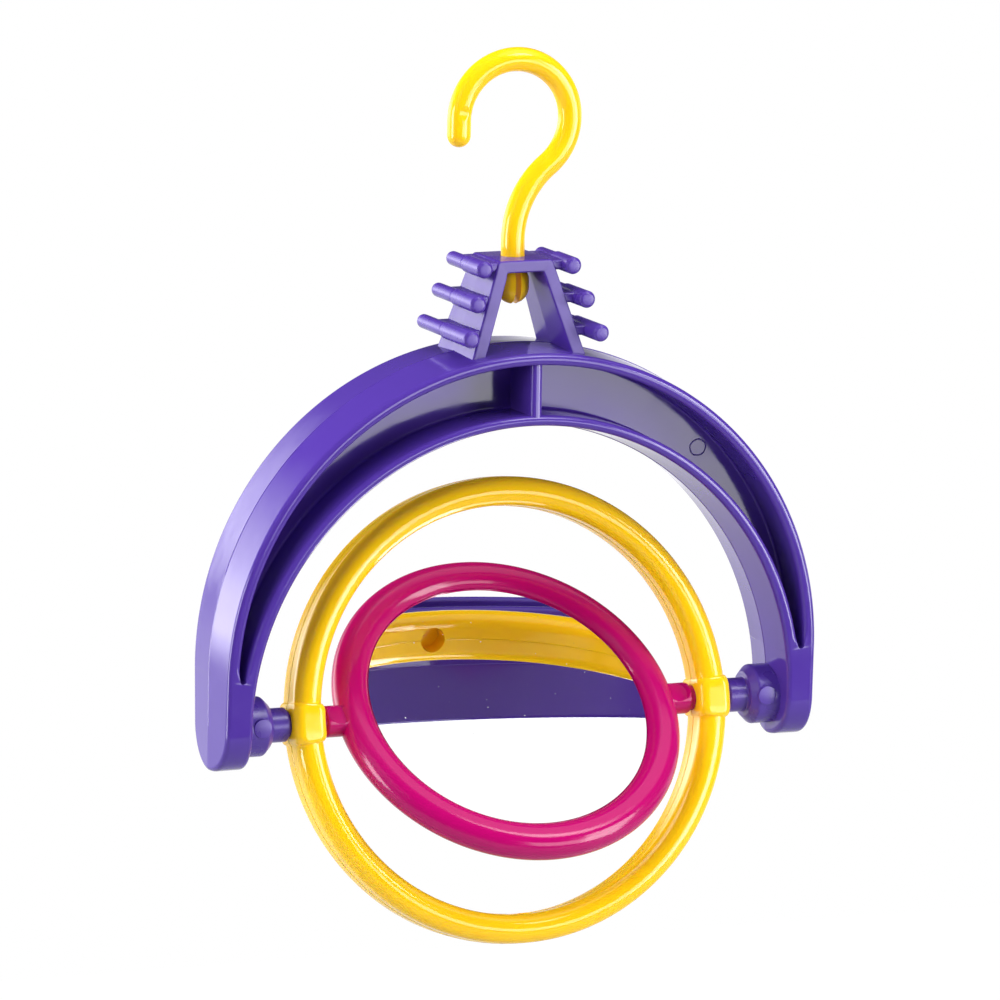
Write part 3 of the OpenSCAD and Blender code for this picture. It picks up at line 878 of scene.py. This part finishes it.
def plastic(name, colour, shade, gloss, spark=False, depth=0.0, shine=0.5):
    """Moulded plastic: colour drifts slightly to a deeper shade, gloss varies, and the surface wavers."""
    material, lead = new_finish(name)
    place = lead.node("ShaderNodeTexCoord", output=3)
    drift = ramp(lead, noise(lead, place, 60.0), 0.3, 0.8)
    smear = ramp(lead, noise(lead, place, 220.0, 4.0), 0.45, 0.75)
    tint = mix(lead, drift * 0.35, (*colour, 1), (*shade, 1))
    rough = smear * 0.07 + gloss
    height = noise(lead, place, 350.0, 1.0) * 0.5 + noise(lead, place, 110.0, 2.0) * 1.5
    # The spark texture makes front faces rougher and bumpier; their paler tint is a painted sheen.
    if spark:
        front = spark_front_and_sheen(lead)
        tint = mix(lead, front * 0.3, tint, (*PAINTED_SHEEN, 1))
        rough = rough + front * 0.3
        height = height + noise(lead, place, 4500.0, 3.0) * front * 0.9
    bump = lead.node("ShaderNodeBump", {}, {"Strength": 0.25, "Distance": 0.00012, "Height": height})
    skin = lead.node("ShaderNodeBsdfPrincipled", {}, {
        "Base Color": tint, "Roughness": rough, "Normal": bump, "IOR": 1.5, "Specular IOR Level": shine,
        "Subsurface Weight": depth, "Subsurface Radius": (1.0, 0.5, 0.1), "Subsurface Scale": 0.0015})
    lead.node("ShaderNodeOutputMaterial", {}, {"Surface": skin})
    print("finish", name)
    return material


PURPLE, PURPLE_DEEP = (0.072, 0.031, 0.30), (0.062, 0.026, 0.265)
YELLOW, AMBER = (0.99, 0.59, 0.006), (0.98, 0.54, 0.004)
MAGENTA, MAGENTA_DEEP = (0.44, 0.001, 0.125), (0.40, 0.001, 0.115)
purple = plastic("purple_plastic", PURPLE, PURPLE_DEEP, 0.10)
purple_satin = plastic("purple_satin", PURPLE, PURPLE_DEEP, 0.27)
purple_spark_and_sheen = plastic("purple_sparked_painted_sheen", PURPLE, PURPLE_DEEP, 0.2, spark=True, shine=0.3)
yellow = plastic("yellow_plastic", YELLOW, AMBER, 0.10, depth=0.2)
magenta = plastic("magenta_plastic", MAGENTA, MAGENTA_DEEP, 0.14, shine=0.35)

# %% Mirror finish
SILVER = (0.9, 0.905, 0.91)


def silvered(name):
    """Silvered plastic sheet: a bright metal with sparse specks of dust that scatter the light."""
    material, lead = new_finish(name)
    place = lead.node("ShaderNodeTexCoord", output=3)
    specks = lead.node("ShaderNodeTexVoronoi", {}, {"Vector": place, "Scale": 1400.0})
    rare = ramp(lead, noise(lead, place, 900.0, 2.0), 0.66, 0.72)
    dust = (1 - ramp(lead, specks, 0.12, 0.2)) * rare
    haze = ramp(lead, noise(lead, place, 90.0, 3.0), 0.4, 0.8)
    rough = dust * 0.5 + haze * 0.015 + 0.01
    skin = lead.node("ShaderNodeBsdfPrincipled", {}, {
        "Base Color": (*SILVER, 1), "Metallic": 1 - dust, "Roughness": rough})
    lead.node("ShaderNodeOutputMaterial", {}, {"Surface": skin})
    return material


mirror = silvered("silvered_mirror")
for finish, wearers in (
    (yellow, [hook, *ring_pieces]),
    (purple, [arch_body, ribs]),
    (purple_satin, [pins, pegs]),
    (purple_spark_and_sheen, [hanger]),
    (magenta, [rim_front, rim_rear]),
    (mirror, discs),
):
    for piece in wearers:
        piece.data.materials.clear()
        piece.data.materials.append(finish)
print(len(bpy.data.materials), "finishes")

# %% [markdown]
# ## Camera
# The view was worked out from the round outlines of ring and rim: the camera stands to the front left,
# a little above the pivots, about two metres away with a long lens. It is set from those angles, with
# the aim a little left of and above the pivots so that the whole object fills the frame.

# %% Camera
VIEW_TURN, VIEW_RISE, VIEW_ROLL = map(math.radians, (-22.886, 9.960, 0.826))
VIEW_FAR, VIEW_PIXELS = 1928.9, 10716.2
PICTURE_PIXELS, SENSOR = 1000, 36
AIM_RIGHT, AIM_UP = -1.08, 37.77
level = Vector((math.cos(VIEW_TURN), math.sin(VIEW_TURN), 0))
forward = Vector((-math.sin(VIEW_TURN), math.cos(VIEW_TURN), 0))
ahead = forward * math.cos(VIEW_RISE) - Vector((0, 0, math.sin(VIEW_RISE)))
rise = level.cross(ahead)
right = level * math.cos(VIEW_ROLL) + rise * math.sin(VIEW_ROLL)
up = rise * math.cos(VIEW_ROLL) - level * math.sin(VIEW_ROLL)
aim = Vector((0, 0, PIVOT_Z)) + right * AIM_RIGHT + up * AIM_UP
lens = bpy.data.cameras.new("camera")
lens.sensor_width = SENSOR
lens.lens = VIEW_PIXELS * SENSOR / PICTURE_PIXELS
camera = bpy.data.objects.new("camera", lens)
bpy.context.collection.objects.link(camera)
facing = Matrix((right, up, -ahead)).transposed().to_4x4()
camera.matrix_world = Matrix.Translation((aim - ahead * VIEW_FAR) * MM) @ facing
bpy.context.scene.camera = camera
print("camera at", [round(c, 3) for c in camera.matrix_world.translation])

# %% [markdown]
# ## Studio
# Glossy plastic shows the studio more than it shows its own colour. So what reflections see is built
# apart from what lights the object: the surroundings hold a ceiling panel, a white table and a window
# at the back left, strips stand to both sides for the long highlights, and soft fills that no
# reflection shows bring the colours out. The camera itself sees plain white and a pale floor.

# %% Surroundings
CAMERA_RAY, GLOSSY_RAY, TRANSMISSION_RAY = 0, 3, 6  # outputs of the Light Path node
CEILING, TABLE, WINDOW, ROOM = 1.15, 1.2, 5.2, 0.06


def ray_is(lead, kind):
    """1 for rays of one kind, otherwise 0."""
    return lead.node("ShaderNodeLightPath", output=kind)


def seen_directly(lead):
    """1 for rays of the camera, of reflections and through glass, otherwise 0."""
    outside = lead.sum("MAXIMUM", ray_is(lead, CAMERA_RAY), ray_is(lead, GLOSSY_RAY))
    return lead.sum("MAXIMUM", outside, ray_is(lead, TRANSMISSION_RAY))


def reflected_room(lead):
    """Brightness by direction: ceiling panel overhead, table low behind, window at the back left."""
    heading = lead.node("ShaderNodeTexCoord", output=0)
    x, y, z = [lead.node("ShaderNodeSeparateXYZ", {}, {0: heading}, output=i) for i in range(3)]
    overhead = x * 0.383 + y * -0.116 + z * 0.916
    ceiling = ramp(lead, overhead, 0.90, 0.96)
    table = ramp(lead, 0 - z, -0.15, 0.1) * ramp(lead, y, -0.6, 0.1)
    back_left = ramp(lead, z - x, 0.30, 0.45) * ramp(lead, y, 0.45, 0.6)
    window = back_left * ramp(lead, 0 - z, -0.42, -0.06) * ramp(lead, z, -0.22, -0.06)
    return ceiling * CEILING + table * TABLE + window * WINDOW + ROOM


def surroundings(fill):
    """World light: white to the camera, the room to reflections, and an even fill to everything else."""
    world = bpy.data.worlds.new("studio")
    bpy.context.scene.world = world
    world.use_nodes = True
    world.node_tree.nodes.clear()
    lead = Lead(world.node_tree)
    camera_ray, seen = ray_is(lead, CAMERA_RAY), seen_directly(lead)
    shown = camera_ray + (seen - camera_ray) * reflected_room(lead)
    strength = shown + (1 - seen) * fill
    light = lead.node("ShaderNodeBackground", {}, {"Color": (1, 1, 1, 1), "Strength": strength})
    lead.node("ShaderNodeOutputWorld", {}, {"Surface": light})
    print("surroundings of", len(world.node_tree.nodes), "nodes")


surroundings(0.06)

# %% Floor
FLOOR_Z, FLOOR_WIDE, FLOOR_NEAR, FLOOR_FAR = -0.42, 3.0, -0.7, 1.1  # metres
floor_mesh = bpy.data.meshes.new("floor")
floor_mesh.from_pydata(
    [(-FLOOR_WIDE, FLOOR_NEAR, FLOOR_Z), (FLOOR_WIDE, FLOOR_NEAR, FLOOR_Z),
     (FLOOR_WIDE, FLOOR_FAR, FLOOR_Z), (-FLOOR_WIDE, FLOOR_FAR, FLOOR_Z)], [], [(0, 1, 2, 3)])
floor = bpy.data.objects.new("floor", floor_mesh)
bpy.context.collection.objects.link(floor)
paper, lead = new_finish("floor_paper")
matt = lead.node("ShaderNodeBsdfDiffuse", {}, {"Color": (0.4, 0.4, 0.4, 1)})
glow = lead.node("ShaderNodeEmission", {}, {"Color": (1, 1, 1, 1), "Strength": 1.05})
spot = lead.node("ShaderNodeTexCoord", output=3)
distance = lead.node("ShaderNodeSeparateXYZ", {}, {0: spot}, output=1)
shown = ray_is(lead, CAMERA_RAY) + ray_is(lead, GLOSSY_RAY) * ramp(lead, distance, 0.1, 0.6)
mixed = lead.node("ShaderNodeMixShader", {}, {0: shown * 0.96, 1: matt, 2: glow})
lead.node("ShaderNodeOutputMaterial", {}, {"Surface": mixed})
floor.data.materials.append(paper)
print("floor lies", -FLOOR_Z, "m below the cage bar")

# %% Soft boxes
LIT_POINT = Vector((0, 0, -0.09))  # metres


def soft_box(name, place, size, glow, mirrored=True, lights=True):
    """A rectangular lamp at a place in metres, turned towards the object, as bright as glow times white.

    Reflections show it if it is mirrored, and it lights matt surfaces if it lights.
    """
    lamp = bpy.data.lights.new(name, "AREA")
    lamp.shape = "RECTANGLE"
    lamp.size, lamp.size_y = size
    lamp.energy = glow * math.pi * size[0] * size[1]
    box = bpy.data.objects.new(name, lamp)
    bpy.context.collection.objects.link(box)
    box.visible_glossy = mirrored
    box.visible_diffuse = lights
    look = LIT_POINT - Vector(place)
    box.matrix_world = Matrix.Translation(place) @ look.to_track_quat("-Z", "Y").to_matrix().to_4x4()


soft_box("key_box", (0.46, -0.60, 0.84), (0.36, 0.36), 9.0)
soft_box("low_front_box", (0.48, -1.08, -0.14), (0.6, 0.42), 5.0, lights=False)
soft_box("right_strip", (0.75, -0.72, -0.02), (0.4, 0.7), 10.0)
soft_box("left_strip", (-1.05, 0.0, -0.25), (0.34, 0.9), 11.0, lights=False)
soft_box("top_fill", (-0.1, 0.0, 1.1), (1.2, 1.2), 3.5, mirrored=False)
soft_box("left_fill", (-0.9, -0.35, 0.35), (0.7, 0.7), 5.7, mirrored=False)
soft_box("right_fill", (1.0, -0.3, 0.15), (0.7, 0.7), 1.6, mirrored=False)
soft_box("low_fill", (-0.1, -0.5, -0.38), (0.5, 0.3), 1.4, mirrored=False)
soft_box("back_fill", (-0.75, 0.9, 0.1), (1.0, 0.8), 7.0, mirrored=False)
print(len(bpy.data.lights), "soft boxes")

# %% [markdown]
# ## Finish
# The colours are written as they should look, so the picture is shown without a film curve.

# %% View transform
bpy.context.scene.view_settings.view_transform = "Standard"
